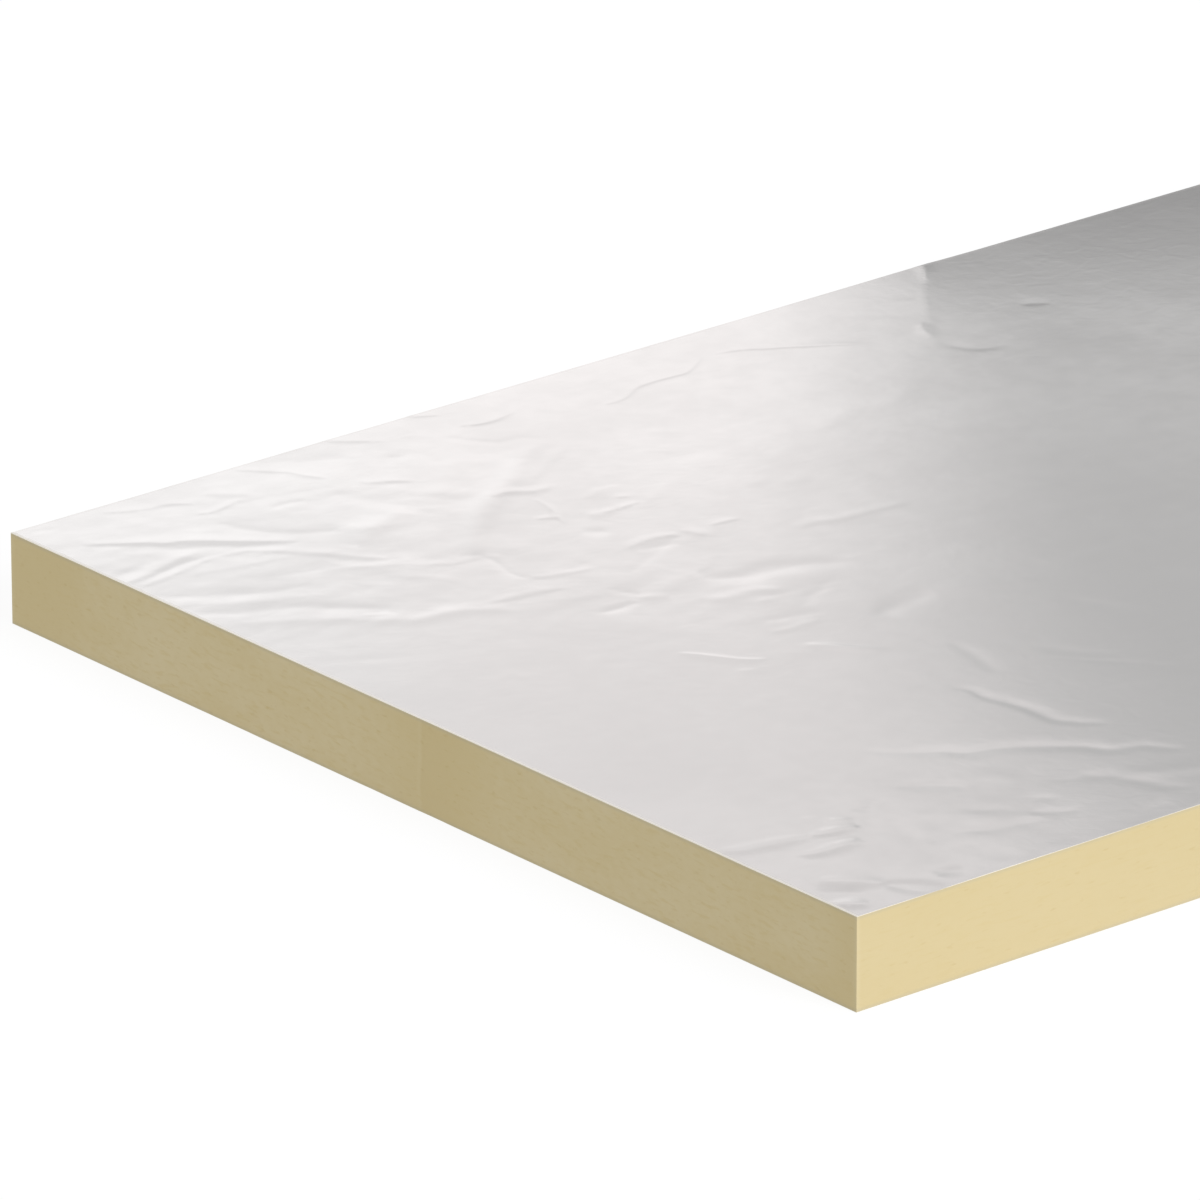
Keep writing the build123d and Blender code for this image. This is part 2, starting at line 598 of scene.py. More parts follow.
def crease_cluster(rng, habit, beyond=-math.inf):
    """A loose cluster of creases beyond a slanted line across the facing, seldom in a calm place."""
    while True:
        middle = np.array([rng.uniform(0.0, BOARD_LENGTH / MM), rng.uniform(0.0, BOARD_WIDTH / MM)])
        if middle[0] < beyond + HAND_MADE_SLANT * middle[1]:
            continue
        if rng.random() <= liveliness(*middle[:, None])[0]:
            break
    heading = rng.uniform(*habit.headings)
    creases = []
    for _ in range(rng.integers(habit.fewest, MOST_IN_CLUSTER + 1)):
        start = middle + rng.normal(0.0, habit.scatter, 2)
        turn = heading + rng.normal(0.0, habit.turn)
        run = rng.uniform(*habit.runs) * np.array([math.cos(turn), math.sin(turn)])
        bend = rng.normal(0.0, habit.bend, 2)
        path = (start - 0.5 * run, start + bend, start + 0.5 * run)
        rise = rng.uniform(*habit.rises) * rng.choice(habit.signs)
        half_width = rng.uniform(*habit.half_widths)
        creases.append(Crease(path, half_width, rise, rng.uniform(-habit.lean, habit.lean)))
    return creases


def small_creases(rng, count):
    """At least that many short faint creases, scattered over a facing in loose clusters."""
    creases = []
    while len(creases) < count:
        creases += crease_cluster(rng, FAINT_HABIT)
    return creases


def bold_creases(rng, clusters, **limits):
    """Clusters of longer and bolder creases, scattered over a facing."""
    return [crease for _ in range(clusters) for crease in crease_cluster(rng, BOLD_HABIT, **limits)]


def graded_steps(length, first, last):
    """Places from nought to a length whose spacing grows evenly from first to last."""
    count = int(round(2.0 * length / (first + last)))
    step = np.linspace(0.0, 1.0, count + 1)
    share = 2.0 * first / (first + last)
    return length * (share * step + (1.0 - share) * step ** 2)


def skin_places(sizes, drawn, xs, ys):
    """Places inside the outline: rows along each crease and a staggered grid between them."""
    length, width = xs[-1], ys[-1]
    fine, kept = {}, []
    for crease, line in drawn:
        offsets = SHARP_ROWS if crease.sharp else BOLD_ROWS if crease.bold else FAINT_ROWS
        rows = rows_beside(crease, line, sizes.crease_cell / MM, offsets)
        low_enough = (rows[:, 0] < length - RIM_MARGIN) & (rows[:, 1] < width - RIM_MARGIN)
        inside = (rows > RIM_MARGIN).all(1) & low_enough
        kept += thinned(rows[inside].tolist(), FINE_GAP, fine)
    coarse = {}
    thinned(kept, COARSE_GAP, coarse)
    grid = []
    for i, x in enumerate(xs[1:-1], 1):
        cell = xs[i + 1] - xs[i]
        count = int(width / cell)
        grid += [(x, width * (j + 0.25 + 0.5 * (i % 2)) / count) for j in range(count)]
    grid = [place for place in grid if RIM_MARGIN < place[1] < width - RIM_MARGIN]
    return kept + thinned(grid, COARSE_GAP, coarse)


def rim_places(xs, ys):
    """Places round the outline: the near side, the high-x end, the far side and the low-x end."""
    near = [(x, 0.0) for x in xs[:-1]]
    high_end = [(xs[-1], y) for y in ys[:-1]]
    far = [(x, ys[-1]) for x in xs[:0:-1]]
    low_end = [(0.0, y) for y in ys[:0:-1]]
    return near + high_end + far + low_end


def keep_values(mesh, name, values, rest):
    """Keeps a value for each place of the skin, and nought for the rest of the places."""
    attribute = mesh.attributes.new(name, "FLOAT", "POINT")
    attribute.data.foreach_set("value", np.append(values, np.zeros(rest)).astype(np.float32))


def facing_mesh(name, sizes, inner, outer, creases, rng):
    """A closed sheet: a fine skin outside, a plain face against the foam and thin sides."""
    drawn = [(crease, wander(run_through(crease.path), CREASE_SWAY, rng)) for crease in creases]
    xs = graded_steps(BOARD_LENGTH / MM, sizes.near_cell / MM, sizes.far_cell / MM)
    ys = graded_steps(BOARD_WIDTH / MM, sizes.near_cell / MM, sizes.near_cell / MM)
    rim = rim_places(xs, ys)
    skin = np.array(rim + skin_places(sizes, drawn, xs, ys))
    triangles = delaunay_2d_cdt([tuple(place) for place in skin.tolist()], [], [], 0, SAME_PLACE)[2]
    count = len(skin)
    height = np.zeros(count)
    for crease, line in drawn:
        close, rise = crease_relief(skin[:, 0], skin[:, 1], crease, line)
        height[close] += rise
    flat = skin * MM + np.array([cad_low.x, cad_low.y])
    flat[:len(rim)] = np.clip(flat[:len(rim)], (cad_low.x, cad_low.y), (cad_high.x, cad_high.y))
    places = [(x, y, outer) for x, y in flat] + [(x, y, inner) for x, y in flat[:len(rim)]]
    inner_rim = count + np.arange(len(rim))
    faces = [list(triangle) for triangle in triangles]
    for i in range(len(rim)):
        j = (i + 1) % len(rim)
        faces.append([j, i, inner_rim[i], inner_rim[j]])
    faces += inner_faces(inner_rim, len(xs), len(ys))
    if outer < inner:
        faces = [face[::-1] for face in faces]
    mesh = bpy.data.meshes.new(name)
    mesh.from_pydata(places, [], faces)
    keep_values(mesh, "crease", height * MM, len(rim))
    keep_values(mesh, "skin", np.ones(count), len(rim))
    keep_values(mesh, "lively", liveliness(skin[:, 0], skin[:, 1]), len(rim))
    mesh.polygons.foreach_set("use_smooth", np.arange(len(faces)) < len(triangles))
    return mesh


def inner_faces(rim, columns, rows):
    """The face against the foam: a fan at each end and long strips between, from its rim."""
    near = rim[:columns]
    high_end = rim[columns - 1:columns + rows - 1]
    far = rim[columns + rows - 2:2 * columns + rows - 2][::-1]
    low_end = np.append(rim[2 * columns + rows - 3:], rim[0])[::-1]
    faces = []
    for i in range(1, columns - 2):
        faces.append([near[i], far[i], far[i + 1], near[i + 1]])
    for i in range(rows - 1):
        faces.append([near[1], low_end[i], low_end[i + 1]])
        faces.append([near[columns - 2], high_end[i + 1], high_end[i]])
    faces.append([near[1], low_end[-1], far[1]])
    faces.append([near[columns - 2], far[columns - 2], high_end[-1]])
    return faces


# How soft folds are drawn out along the board
FOLD_STRETCH = (0.55, 1.0, 1.0)


def stored(tree, name):
    """A value that the mesh keeps for each place."""
    inputs = {"Name": name}
    return add_node(tree, "GeometryNodeInputNamedAttribute", inputs, data_type="FLOAT").outputs[0]


def noise_relief(tree, pattern, height):
    """A noise pattern as a relief, half above the flat and half below."""
    return times(tree, minus(tree, pattern, 0.5), height)


def relief_tree():
    """Geometry nodes that lift a facing's skin by its creases, waves, folds and crumples."""
    tree, given, result = new_tree(
        "Foil relief", "GeometryNodeTree",
        {"Sheet": "NodeSocketGeometry", "Lift": 0.3 * MM,
         "Wave height": 0.3 * MM, "Wave size": 200 * MM, "Fold height": 0.4 * MM, "Fold size": 80 * MM,
         "Crumple height": 0.1 * MM, "Crumple size": 40 * MM, "Deepest": 0.2 * MM, "Highest": 1.0 * MM,
         "Outward": 1.0, "Seed": 1.0, "Foil": "NodeSocketMaterial"},
        {"Sheet": "NodeSocketGeometry"})
    value = given.outputs
    place = add_node(tree, "GeometryNodeInputPosition").outputs[0]
    waves = noise(tree, place, scale_for(tree, value["Wave size"]), 1.0, W=value["Seed"], Roughness=0.4)
    crumples = noise(tree, place, scale_for(tree, value["Crumple size"]), 2.0,
                     W=value["Seed"], Roughness=0.5, Distortion=0.6)
    drawn_out = add_node(tree, "ShaderNodeVectorMath", {
        0: place, 1: FOLD_STRETCH}, operation="MULTIPLY").outputs["Vector"]
    folds = noise(tree, drawn_out, scale_for(tree, value["Fold size"]), 1.0,
                  W=plus(tree, value["Seed"], 5.0), Roughness=0.5, Distortion=1.4)
    long_relief = noise_relief(tree, waves, value["Wave height"])
    short_relief = plus(tree, noise_relief(tree, crumples, value["Crumple height"]),
                        noise_relief(tree, folds, value["Fold height"]))
    short_relief = times(tree, short_relief, stored(tree, "lively"))
    height = plus(tree, plus(tree, stored(tree, "crease"), long_relief), short_relief)
    height = plus(tree, height, value["Lift"])
    height = maths(tree, "MINIMUM", height, value["Highest"])
    height = maths(tree, "MAXIMUM", height, times(tree, value["Deepest"], -1.0))
    height = times(tree, height, times(tree, stored(tree, "skin"), value["Outward"]))
    shift = add_node(tree, "ShaderNodeCombineXYZ", {"Z": height}).outputs[0]
    lifted = add_node(tree, "GeometryNodeSetPosition", {
        "Geometry": value["Sheet"], "Offset": shift}).outputs[0]
    real = add_node(tree, "GeometryNodeRealizeInstances", {"Geometry": lifted}).outputs[0]
    dressed = add_node(tree, "GeometryNodeSetMaterial", {
        "Geometry": real, "Material": value["Foil"]}).outputs[0]
    tree.links.new(dressed, result.inputs["Sheet"])
    return tree


def named_tree(name, make):
    """The node group with that name, made the first time that it is needed."""
    return bpy.data.node_groups.get(name) or make()


def lifted_sheet(name, mesh, settings):
    """The sheet with its relief worked out and kept as a plain mesh."""
    sheet = bpy.data.objects.new(name, mesh)
    bpy.context.scene.collection.objects.link(sheet)
    relief = sheet.modifiers.new("Foil relief", "NODES")
    relief.node_group = named_tree("Foil relief", relief_tree)
    sockets = {s.name: s.identifier for s in relief.node_group.interface.items_tree
               if s.in_out == "INPUT"}
    for label, value in settings.items():
        relief[sockets[label]] = value
    bpy.context.view_layer.update()
    evaluated = sheet.evaluated_get(bpy.context.evaluated_depsgraph_get())
    finished = bpy.data.meshes.new_from_object(evaluated)
    sheet.modifiers.remove(relief)
    sheet.data = finished
    finished.name = name
    for attribute in ("crease", "lively"):
        finished.attributes.remove(finished.attributes[attribute])
    sharpen_rim(finished)
    return sheet


def sharpen_rim(mesh):
    """Keeps the cut edge crisp where the smooth skin meets the flat sides."""
    smooth = np.zeros(len(mesh.polygons), bool)
    mesh.polygons.foreach_get("use_smooth", smooth)
    sides = {key for polygon in mesh.polygons if not smooth[polygon.index] for key in polygon.edge_keys}
    for edge in mesh.edges:
        edge.use_edge_sharp = edge.key in sides


def mottling_tree():
    """Shader nodes for soft uneven tone, which the foil and the foam both have."""
    tree, given, result = new_tree(
        "Mottling", "ShaderNodeTree",
        {"Place": "NodeSocketVector", "Broad size": 0.12, "Fine size": 0.01, "Fine share": 0.3},
        {"Tone": "NodeSocketFloat"})
    place = given.outputs["Place"]
    broad = noise(tree, place, scale_for(tree, given.outputs["Broad size"]), 3.0)
    fine = noise(tree, place, scale_for(tree, given.outputs["Fine size"]), 3.0)
    tone = maths(tree, "MULTIPLY_ADD", minus(tree, fine, broad), given.outputs["Fine share"], broad)
    tree.links.new(spread(tree, tone, 0.3, 0.7), result.inputs["Tone"])
    return tree


def sawn_edge_tree():
    """Shader nodes that tell how near a place is to the board's cut ends, sides and corners."""
    tree, given, result = new_tree(
        "Sawn edge", "ShaderNodeTree",
        {"Place": "NodeSocketVector", "Reach": 0.006,
         "Half length": 0.5 * BOARD_LENGTH, "Half width": 0.5 * BOARD_WIDTH},
        {"Corner": "NodeSocketFloat", "End": "NodeSocketFloat", "Side": "NodeSocketFloat"})
    place = add_node(tree, "ShaderNodeSeparateXYZ", {"Vector": given.outputs["Place"]})
    to_end = minus(tree, given.outputs["Half length"], maths(tree, "ABSOLUTE", place.outputs["X"]))
    to_side = minus(tree, given.outputs["Half width"], maths(tree, "ABSOLUTE", place.outputs["Y"]))
    uneven = noise(tree, given.outputs["Place"], 90.0, 2.0)
    reach = times(tree, given.outputs["Reach"], plus(tree, uneven, 0.5))
    gaps = {"Corner": maths(tree, "MAXIMUM", to_end, to_side), "End": to_end, "Side": to_side}
    for label, gap in gaps.items():
        closeness = spread(tree, maths(tree, "DIVIDE", gap, reach), 1.0, 0.0)
        tree.links.new(closeness, result.inputs[label])
    return tree


def add_group(tree, name, make, inputs):
    """A node that holds one of the shared groups."""
    return add_node(tree, "ShaderNodeGroup", inputs, node_tree=named_tree(name, make))


def bare_material(name):
    """A material with nothing in it but its output."""
    material = bpy.data.materials.new(name)
    material.use_nodes = True
    tree = material.node_tree
    tree.nodes.clear()
    return material, tree, tree.nodes.new("ShaderNodeOutputMaterial")


def new_material(name):
    """A material with its surface shader, and the place on the board."""
    material, tree, output = bare_material(name)
    shader = tree.nodes.new("ShaderNodeBsdfPrincipled")
    tree.links.new(shader.outputs[0], output.inputs["Surface"])
    return material, tree, shader, tree.nodes.new("ShaderNodeTexCoord").outputs["Object"]


def stretched(tree, place, scales):
    """The place with each axis scaled, so that a pattern runs along one of them."""
    return add_node(tree, "ShaderNodeMapping", {"Vector": place, "Scale": scales}).outputs[0]


def grain(tree, place, scales, detail):
    """Noise with its own scale along each axis."""
    return noise(tree, stretched(tree, place, scales), 1.0, detail)


# Fine lines that rolling leaves along the foil, and how far the rim shows paper: sawing wear, and along
# the ends also a painted highlight where the rounded edge catches light
ROLLING_LINES = (3.0, 420.0, 1.0)
END_WEAR_AND_HIGHLIGHT = 0.72
SIDE_WEAR_AND_HIGHLIGHT = 0.08


def foil_material(finish):
    """Satin foil on paper: fine crumpling, faint rolling lines, handling marks and a paper edge, which
    along the board's ends is also a painted highlight.
    """
    material, tree, shader, place = new_material("satin_foil")
    tone = add_group(tree, "Mottling", mottling_tree, {
        "Place": place, "Broad size": 0.13, "Fine size": 0.025, "Fine share": 0.35}).outputs["Tone"]
    edge = add_group(tree, "Sawn edge", sawn_edge_tree, {"Place": place, "Reach": 0.005})
    lines = grain(tree, place, ROLLING_LINES, 2.0)
    colour = blend_colours(tree, tone, finish.colour, finish.worn_colour)
    skin = add_node(tree, "ShaderNodeAttribute", attribute_name="skin").outputs["Fac"]
    # Paper colour at the rim: sawing wear, and along the ends also a painted highlight of the rounded
    # edge catching light
    paper_wear_and_highlight = maths(tree, "MAXIMUM", times(tree, edge.outputs["End"], END_WEAR_AND_HIGHLIGHT),
                         times(tree, edge.outputs["Side"], SIDE_WEAR_AND_HIGHLIGHT))
    outside = maths(tree, "SUBTRACT", spread(tree, skin, 0.93, 0.99), paper_wear_and_highlight, clamp=True)
    colour = blend_colours(tree, outside, finish.paper_colour, colour)
    tree.links.new(colour, shader.inputs["Base Color"])
    tree.links.new(outside, shader.inputs["Metallic"])
    dull = maths(tree, "MULTIPLY_ADD", tone, 0.05, finish.roughness - 0.025)
    dull = maths(tree, "MULTIPLY_ADD", minus(tree, lines, 0.5), 0.05, dull)
    dull = maths(tree, "MULTIPLY_ADD", minus(tree, 1.0, outside), 0.5, dull)
    tree.links.new(dull, shader.inputs["Roughness"])
    crumple = noise(tree, place, 55.0, 4.0, Roughness=0.45, Distortion=0.8)
    rolled = bump(tree, lines, 0.004 * MM)
    tree.links.new(bump(tree, crumple, 0.06 * MM, Normal=rolled), shader.inputs["Normal"])
    return material


# Dense lanes and the knit line in the foam, by their place across the board, in metres
LANE_SPACING = 0.6
LANE_PLACE = -0.03
KNIT_PLACE = -0.001

# Depth below the board's faces at which the foam's darker band starts and at which it is full, in
# metres. The band is the foam's dense skin, and also a painted shade line under each facing.
SKIN_AND_SHADE_START = 0.0045
SKIN_AND_SHADE_FULL = 0.0012


def pour_marks(tree, place):
    """Marks that run the board's length: dense lanes, and a knit line where two pours of foam met."""
    across = add_node(tree, "ShaderNodeSeparateXYZ", {"Vector": place}).outputs["Y"]
    sway = grain(tree, place, (0.5, 3.0, 14.0), 2.0)
    swayed = maths(tree, "MULTIPLY_ADD", minus(tree, sway, 0.5), 0.02, across)
    turns = times(tree, minus(tree, swayed, LANE_PLACE), 2.0 * math.pi / LANE_SPACING)
    lane = spread(tree, maths(tree, "COSINE", turns), 0.55, 1.0)
    off_knit = minus(tree, swayed, KNIT_PLACE)
    knit = spread(tree, maths(tree, "ABSOLUTE", off_knit), 0.004, 0.001)
    beside = times(tree, spread(tree, off_knit, -0.08, -0.004), spread(tree, off_knit, 0.0, -0.004))
    return lane, knit, beside


def foam_material(finish):
    """Cut rigid foam: clouds, streaks and lanes along the board, opened voids and pale corners."""
    material, tree, shader, place = new_material("cut_foam")
    clouds = add_group(tree, "Mottling", mottling_tree, {
        "Place": stretched(tree, place, (0.7, 1.0, 2.0)), "Broad size": 0.16, "Fine size": 0.011,
        "Fine share": 0.35}).outputs["Tone"]
    streaks = grain(tree, place, (34.0, 60.0, 260.0), 3.0)
    void_mask = spread(tree, grain(tree, place, (60.0, 90.0, 230.0), 1.0), 0.62, 0.78)
    edge = add_group(tree, "Sawn edge", sawn_edge_tree, {"Place": place, "Reach": 0.006})
    lane, knit, beside = pour_marks(tree, place)
    height = add_node(tree, "ShaderNodeSeparateXYZ", {"Vector": place}).outputs["Z"]
    half = 0.5 * BOARD_THICKNESS
    from_middle = maths(tree, "ABSOLUTE", minus(tree, height, half))
    # Darker band beside each facing: the foam's dense skin, and also painted shade under the facing's
    # edge
    skin_and_shade_share = spread(tree, from_middle, half - SKIN_AND_SHADE_START, half - SKIN_AND_SHADE_FULL, 0.0, 0.5)
    layers = (
        (times(tree, clouds, 0.7), finish.dense_colour),
        (times(tree, lane, 0.7), finish.dense_colour),
        (times(tree, beside, 0.12), finish.fleck_colour),
        (times(tree, knit, 0.1), finish.pale_colour),
        (spread(tree, streaks, 0.52, 0.68, 0.0, 0.75), finish.dense_colour),
        (times(tree, void_mask, 0.24), finish.fleck_colour),
        (skin_and_shade_share, finish.skin_and_shade_colour),
        # The foam is made paler toward the board's upright corners
        (times(tree, edge.outputs["Corner"], 0.2), finish.pale_colour))
    colour = finish.colour
    for share, layer_colour in layers:
        colour = blend_colours(tree, share, colour, layer_colour)
    tree.links.new(colour, shader.inputs["Base Color"])
    shader.inputs["Metallic"].default_value = 0.0
    shader.inputs["Specular IOR Level"].default_value = 0.2
    tree.links.new(maths(tree, "MULTIPLY_ADD", clouds, 0.08, 0.86), shader.inputs["Roughness"])
    cells = bump(tree, grain(tree, place, (700.0, 1300.0, 1300.0), 2.0), 0.04 * MM)
    pitted = bump(tree, minus(tree, 1.0, void_mask), 0.1 * MM, 0.5, Normal=cells)
    tree.links.new(pitted, shader.inputs["Normal"])
    return material


def foil_of_board():
    """The foil finish, shared by both facings."""
    return bpy.data.materials.get("satin_foil") or foil_material(bpy.context.scene.foam_board_foil)


def relief_settings(sizes, outward, lift, highest, seed):
    """What the relief of one facing is made with: its sizes, and which way it stands proud."""
    return {
        "Lift": lift, "Wave height": sizes.wave_height, "Wave size": sizes.wave_size,
        "Fold height": sizes.fold_height, "Fold size": sizes.fold_size,
        "Crumple height": sizes.crumple_height, "Crumple size": sizes.crumple_size,
        "Deepest": sizes.deepest, "Highest": highest, "Outward": outward,
        "Seed": float(seed), "Foil": foil_of_board()}


class FOAM_BOARD_OT_upper_facing(bpy.types.Operator):
    """Make the creased foil facing on the board's upper face"""

    bl_idname = "foam_board.upper_facing"
    bl_label = "Upper facing"

    def execute(self, context):
        sizes = context.scene.foam_board_facing
        low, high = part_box("top_facing")
        rng = np.random.default_rng(sizes.seed)
        creases = list(UPPER_CREASES) + small_creases(rng, SMALL_CREASE_COUNT)
        creases += bold_creases(rng, UPPER_CLUSTERS, beyond=HAND_MADE_LENGTH)
        mesh = facing_mesh("upper_foil", sizes, low.z, high.z, creases, rng)
        relief = relief_settings(sizes, 1.0, sizes.lift, sizes.highest, sizes.seed)
        piece = lifted_sheet("upper_foil", mesh, relief)
        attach(piece, "root")
        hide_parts("top_facing")
        return {"FINISHED"}


class FOAM_BOARD_OT_lower_facing(bpy.types.Operator):
    """Make the foil facing that the board lies on, whose creases are pressed flat"""

    bl_idname = "foam_board.lower_facing"
    bl_label = "Lower facing"

    def execute(self, context):
        sizes = context.scene.foam_board_facing
        low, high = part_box("bottom_facing")
        rng = np.random.default_rng(sizes.seed + 1)
        creases = small_creases(rng, SMALL_CREASE_COUNT) + bold_creases(rng, LOWER_CLUSTERS)
        pressed = [crease._replace(rise=-abs(crease.rise)) for crease in creases]
        mesh = facing_mesh("lower_foil", sizes, high.z, low.z, pressed, rng)
        relief = relief_settings(sizes, -1.0, 0.0, 0.0, sizes.seed + 1)
        piece = lifted_sheet("lower_foil", mesh, relief)
        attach(piece, "root")
        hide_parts("bottom_facing")
        return {"FINISHED"}


class FOAM_BOARD_OT_foam_core(bpy.types.Operator):
    """Give the foam slab between the facings its cut finish"""

    bl_idname = "foam_board.foam_core"
    bl_label = "Foam core"

    def execute(self, context):
        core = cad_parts["foam_core"]
        finish = foam_material(context.scene.foam_board_foam)
        core.data.materials.clear()
        core.data.materials.append(finish)
        return {"FINISHED"}


def plain_material(name, build):
    """A stage material whose shader is made by a function of its node tree."""
    material, tree, output = bare_material(name)
    tree.links.new(build(tree), output.inputs["Surface"])
    return material


def lit_and_shown(tree, lighting, shown):
    """A shader that lights the board as one, and shows as the other to the camera and in metal."""
    path = tree.nodes.new("ShaderNodeLightPath")
    seen = maths(tree, "MAXIMUM", path.outputs["Is Camera Ray"], path.outputs["Is Glossy Ray"])
    seen = maths(tree, "MAXIMUM", seen, path.outputs["Is Transmission Ray"])
    return add_node(tree, "ShaderNodeMixShader", {0: seen, 1: lighting, 2: shown}).outputs[0]


def glowing_matt(tree, shade, strength):
    """A matt grey surface that glows white as well."""
    matt = add_node(tree, "ShaderNodeBsdfDiffuse", {"Color": grey(shade)}).outputs[0]
    glow = add_node(tree, "ShaderNodeEmission", {"Color": grey(1.0), "Strength": strength}).outputs[0]
    return add_node(tree, "ShaderNodeAddShader", {0: matt, 1: glow}).outputs[0]


def floor_shader(tree):
    """A white floor that shows almost as bright as the background, with a faint shadow.

    It lights the foot of the board about as much as open floor does.
    """
    return lit_and_shown(tree, glowing_matt(tree, 0.15, 0.53), glowing_matt(tree, 0.14, 0.89))


def add_stage_mesh(name, places, faces, material):
    """A staged mesh with its material."""
    mesh = bpy.data.meshes.new(name)
    mesh.from_pydata(places, [], faces)
    mesh.materials.append(material)
    thing = bpy.data.objects.new(name, mesh)
    bpy.context.scene.collection.objects.link(thing)
    return thing


# Corners of the round floor and of each level of the tent
RING_SIDES = 96


def ring(radius, height):
    """Places round a level circle."""
    turns = [2.0 * math.pi * k / RING_SIDES for k in range(RING_SIDES)]
    return [(radius * math.cos(turn), radius * math.sin(turn), height) for turn in turns]


def add_floor(radius=60.0, drop=0.1 * MM):
    """A wide round floor just under the board."""
    places = ring(radius, cad_low.z - drop)
    return add_stage_mesh("floor", places, [range(len(places))], plain_material("floor", floor_shader))


def tone_by_height(tree, height, stops):
    """A tone that follows the height through stops of height and tone."""
    span = stops[-1][0]
    node = add_node(tree, "ShaderNodeValToRGB", {"Fac": maths(tree, "DIVIDE", height, span)})
    node.color_ramp.interpolation = "CARDINAL"
    elements = node.color_ramp.elements
    for at, tone in stops[1:-1]:
        elements.new(at / span).color = grey(tone)
    elements[0].color = grey(stops[0][1])
    elements[-1].color = grey(stops[-1][1])
    return node.outputs["Color"]


# Tones of the tent's wall and of the grey cards round it, by height in metres
WALL_TONES = (
    (0.0, 0.5), (0.5, 0.62), (0.8, 0.86), (0.93, 1.01), (1.06, 1.018), (1.16, 1.01),
    (1.25, 0.952), (1.35, 0.883), (1.45, 0.818), (1.55, 0.767), (1.65, 0.746), (1.75, 0.782),
    (1.85, 0.778), (2.05, 0.7), (2.4, 0.64), (3.0, 0.7))
CARD_TONES = (
    (0.0, 0.29), (0.88, 0.29), (0.96, 0.33), (0.99, 0.357), (1.02, 0.362), (1.07, 0.525),
    (1.13, 0.575), (1.3, 0.508), (1.5, 0.483), (1.72, 0.49), (3.0, 0.5))
WALL_COLOUR = (1.0, 0.97, 0.962)
CARD_COLOUR = (1.0, 0.995, 0.99)

# The cards stand evenly round the tent, and the first is turned this far from the x axis
CARD_COUNT = 3.0
FIRST_CARD_TURN = math.radians(24.0)


def tent_shader(tree):
    """Soft light on the tent: brightest about a metre up, with grey cards round it."""
    place = tree.nodes.new("ShaderNodeTexCoord").outputs["Object"]
    at = add_node(tree, "ShaderNodeSeparateXYZ", {"Vector": place})
    height = at.outputs["Z"]
    turn = minus(tree, maths(tree, "ARCTAN2", at.outputs["Y"], at.outputs["X"]), FIRST_CARD_TURN)
    wave = maths(tree, "COSINE", times(tree, turn, CARD_COUNT))
    wall = tone_by_height(tree, height, WALL_TONES)
    wall = times(tree, wall, maths(tree, "MULTIPLY_ADD", wave, -0.08, 0.953))
    card_tone = tone_by_height(tree, height, CARD_TONES)
    narrowing = plus(tree, spread(tree, height, 1.1, 2.35, 0.0, 0.5),
                     spread(tree, height, 1.65, 2.4, 0.0, 0.5))
    card_start = plus(tree, spread(tree, height, 1.03, 1.12, -0.42, -0.46),
                      spread(tree, height, 1.3, 1.5, 0.0, -0.06))
    card_full = spread(tree, height, 1.03, 1.12, -0.1, -0.02)
    card = spread(tree, minus(tree, wave, narrowing), card_start, card_full)
    tone = maths(tree, "MULTIPLY_ADD", minus(tree, card_tone, wall), card, wall)
    neutral = maths(tree, "MAXIMUM", card, spread(tree, wave, -0.62, -0.86, 0.0, 0.65))
    colour = blend_colours(tree, neutral, WALL_COLOUR, CARD_COLOUR)
    return add_node(tree, "ShaderNodeEmission", {"Color": colour, "Strength": tone}).outputs[0]


def add_tent(radius, height, steps=16):
    """A round tent over the board with a low dome, seen only in reflections."""
    dome = 0.5 * radius
    places = ring(radius, 0.0) + ring(radius, 0.5 * height) + ring(radius, height)
    for i in range(1, steps):
        angle = 0.5 * math.pi * i / steps
        places += ring(radius * math.cos(angle), height + dome * math.sin(angle))
    faces = []
    for start in range(0, len(places), RING_SIDES):
        for k in range(RING_SIDES):
            here, following = start + k, start + (k + 1) % RING_SIDES
            if start + RING_SIDES < len(places):
                faces.append([here, following, following + RING_SIDES, here + RING_SIDES])
            else:
                faces.append([here, following, len(places)])
    places.append((0.0, 0.0, height + dome))
    tent = add_stage_mesh("light_tent", places, faces, plain_material("light_tent", tent_shader))
    tent.visible_camera = False
    tent.visible_diffuse = False
    tent.visible_shadow = False
    tent.visible_transmission = False
    return tent


# The even light is a little cool. The key lamp shines from this direction, as softly as a
# lamp that spreads over this angle.
AMBIENT_COLOUR = (0.985, 1.0, 1.03, 1.0)
KEY_COLOUR = (1.0, 1.01, 1.07)
KEY_DIRECTION = Vector((0.14, -0.80, 0.53))
KEY_SPREAD = math.radians(30.0)


def light_world(ambient):
    """Even light from all round, in front of a white background."""
    world = bpy.data.worlds.new("studio")
    bpy.context.scene.world = world
    world.use_nodes = True
    tree = world.node_tree
    tree.nodes.clear()
    output = tree.nodes.new("ShaderNodeOutputWorld")
    even = add_node(tree, "ShaderNodeBackground", {"Color": AMBIENT_COLOUR, "Strength": ambient})
    white = add_node(tree, "ShaderNodeBackground", {"Color": grey(1.0), "Strength": 1.0})
    tree.links.new(lit_and_shown(tree, even.outputs[0], white.outputs[0]), output.inputs["Surface"])


def add_key_lamp(strength):
    """A broad soft lamp that lights the low-y side and leaves the low-x end in shade."""
    lamp = bpy.data.lights.new("key", "SUN")
    lamp.energy = strength
    lamp.color = KEY_COLOUR
    lamp.angle = KEY_SPREAD
    holder = bpy.data.objects.new("key", lamp)
    holder.rotation_euler = KEY_DIRECTION.to_track_quat("Z", "Y").to_euler()
    holder.visible_glossy = False
    bpy.context.scene.collection.objects.link(holder)


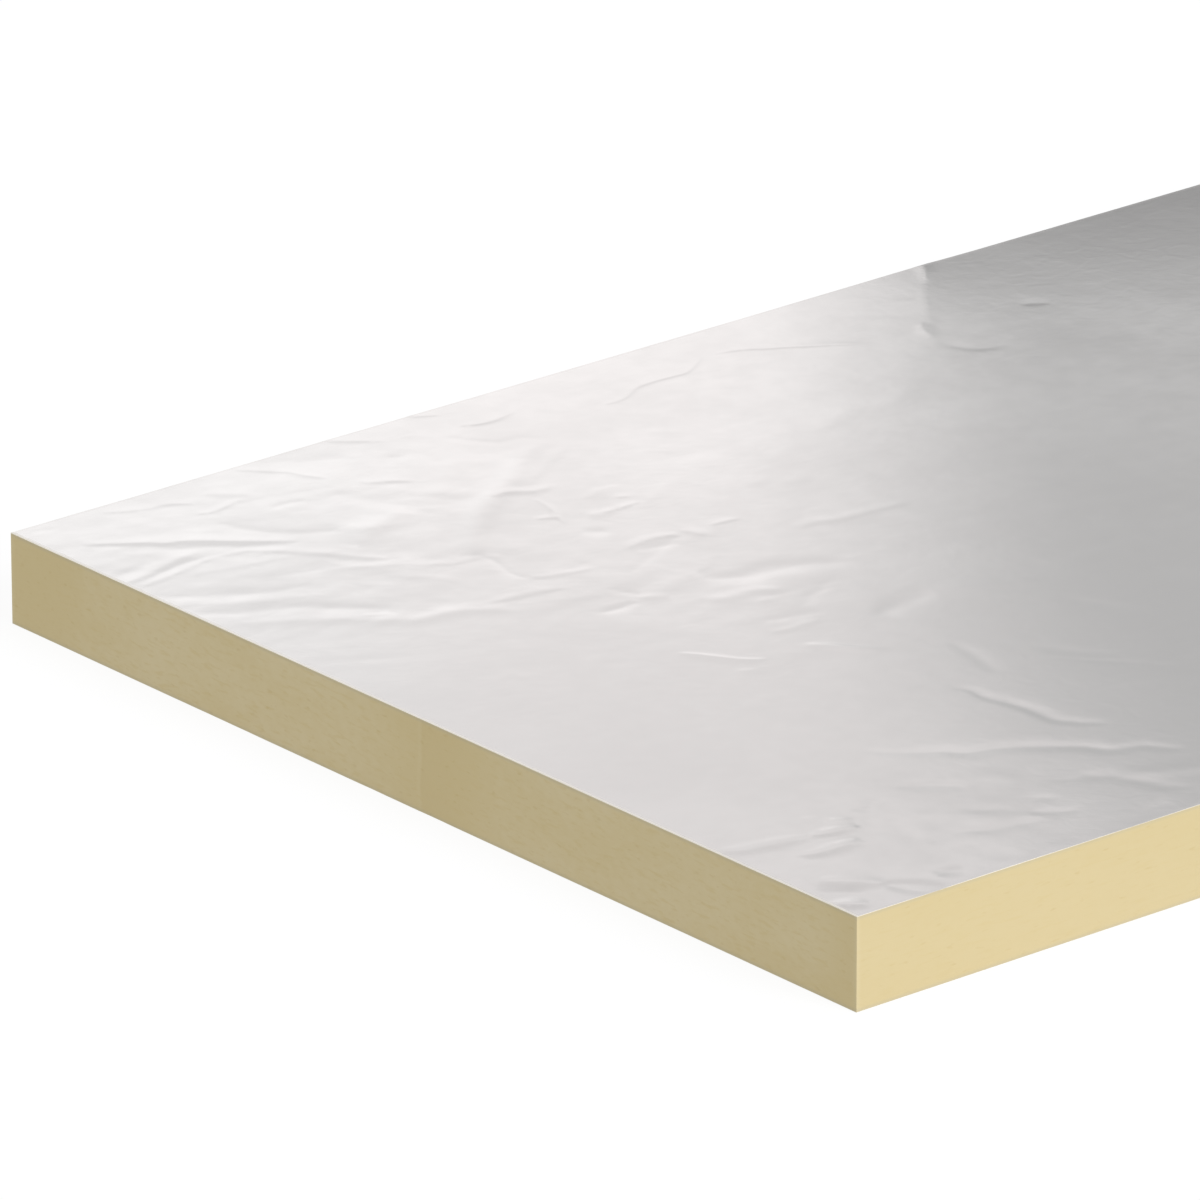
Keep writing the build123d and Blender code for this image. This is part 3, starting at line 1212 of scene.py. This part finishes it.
# Where the camera stands, solved from the outline of the board in the photograph, in degrees
# and metres. The lens is in millimetres.
CAMERA_LENS = 425.2
CAMERA_AZIMUTH = -39.674
CAMERA_ELEVATION = 21.4525
CAMERA_ROLL = -0.144
CAMERA_DISTANCE = 12.947
CAMERA_AIM = Vector((-0.8913, 0.1188, 0.09))


def add_camera():
    """The camera at the photograph's viewing angle."""
    azimuth = math.radians(CAMERA_AZIMUTH)
    elevation = math.radians(CAMERA_ELEVATION)
    roll = math.radians(CAMERA_ROLL)
    back = Vector((math.sin(azimuth) * math.cos(elevation), -math.cos(azimuth) * math.cos(elevation),
                   math.sin(elevation)))
    level = Vector((math.cos(azimuth), math.sin(azimuth), 0.0))
    upright = back.cross(level)
    right = math.cos(roll) * level + math.sin(roll) * upright
    up = back.cross(right)
    data = bpy.data.cameras.new("camera")
    data.lens = CAMERA_LENS
    data.sensor_width = 36.0
    data.clip_start = 0.1
    data.clip_end = 200.0
    camera = bpy.data.objects.new("camera", data)
    turn = Matrix((right, up, back)).transposed().to_4x4()
    camera.matrix_world = Matrix.Translation(CAMERA_AIM + CAMERA_DISTANCE * back) @ turn
    bpy.context.scene.collection.objects.link(camera)
    bpy.context.scene.camera = camera


class FOAM_BOARD_OT_studio(bpy.types.Operator):
    """Set up the floor, the lights, the reflecting tent and the camera"""

    bl_idname = "foam_board.studio"
    bl_label = "Studio"

    def execute(self, context):
        settings = context.scene.foam_board_studio
        context.scene.view_settings.view_transform = "Standard"
        add_floor()
        add_tent(settings.tent_radius, settings.tent_height)
        light_world(settings.ambient)
        add_key_lamp(settings.key)
        add_camera()
        return {"FINISHED"}


class FOAM_BOARD_PT_panel(bpy.types.Panel):
    """Steps that dress the foam board, in order"""

    bl_idname = "FOAM_BOARD_PT_panel"
    bl_label = "Foam board"
    bl_space_type = "VIEW_3D"
    bl_region_type = "UI"
    bl_category = "Foam board"

    def draw(self, context):
        for operator in OPERATORS:
            self.layout.operator(operator.bl_idname)
        for group in PROPERTY_GROUPS:
            holder = getattr(context.scene, group)
            for name in holder.bl_rna.properties.keys():
                if name not in ("rna_type", "name"):
                    self.layout.prop(holder, name)


OPERATORS = (
    FOAM_BOARD_OT_studio,
    FOAM_BOARD_OT_foam_core,
    FOAM_BOARD_OT_upper_facing,
    FOAM_BOARD_OT_lower_facing,
)
PROPERTY_GROUPS = {
    "foam_board_facing": FacingSizes,
    "foam_board_foil": FoilFinish,
    "foam_board_foam": FoamFinish,
    "foam_board_studio": StudioSettings,
}


def register():
    for name, group in PROPERTY_GROUPS.items():
        bpy.utils.register_class(group)
        setattr(bpy.types.Scene, name, PointerProperty(type=group))
    for operator in OPERATORS:
        bpy.utils.register_class(operator)
    bpy.utils.register_class(FOAM_BOARD_PT_panel)


def unregister():
    bpy.utils.unregister_class(FOAM_BOARD_PT_panel)
    for operator in reversed(OPERATORS):
        bpy.utils.unregister_class(operator)
    for name, group in reversed(PROPERTY_GROUPS.items()):
        delattr(bpy.types.Scene, name)
        bpy.utils.unregister_class(group)


def main():
    """Dresses the board."""
    register()
    bpy.ops.foam_board.studio()
    bpy.ops.foam_board.foam_core()
    bpy.ops.foam_board.upper_facing()
    bpy.ops.foam_board.lower_facing()


if __name__ == "__main__":
    main()
